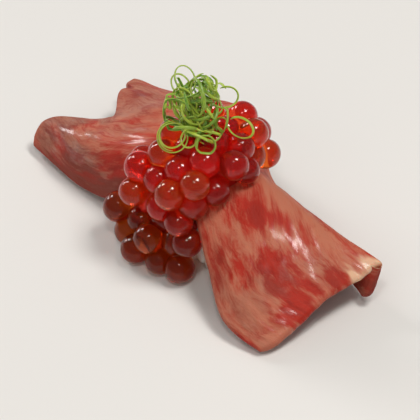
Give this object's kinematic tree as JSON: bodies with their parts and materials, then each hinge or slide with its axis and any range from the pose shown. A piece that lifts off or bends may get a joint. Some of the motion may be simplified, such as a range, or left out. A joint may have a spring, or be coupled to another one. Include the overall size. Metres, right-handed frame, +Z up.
{
  "type": "beef nigiri with salmon roe",
  "caption": "Pressed rice under a draped slice of marbled beef, with a heap of salmon roe over its middle and a nest of spring onion curls on top.",
  "frame": {"origin": "centre of the rice's flat underside, on the surface the nigiri stands on", "axes": "+X runs along the rice towards the slice's wide front flap, +Y to the side away from the roe's foot, +Z up"},
  "size_m": [0.0993, 0.0464, 0.053],
  "materials": {
    "sushi_rice": "moist satin",
    "raw_beef": "wet gloss over marbled meat",
    "salmon_roe": "translucent gloss",
    "spring_onion": "satin"
  },
  "bodies": {
    "root": {"rice": "sushi_rice", "beef_slice": "raw_beef", "salmon_roe": "salmon_roe", "spring_onion": "spring_onion"}
  },
  "joints": []
}
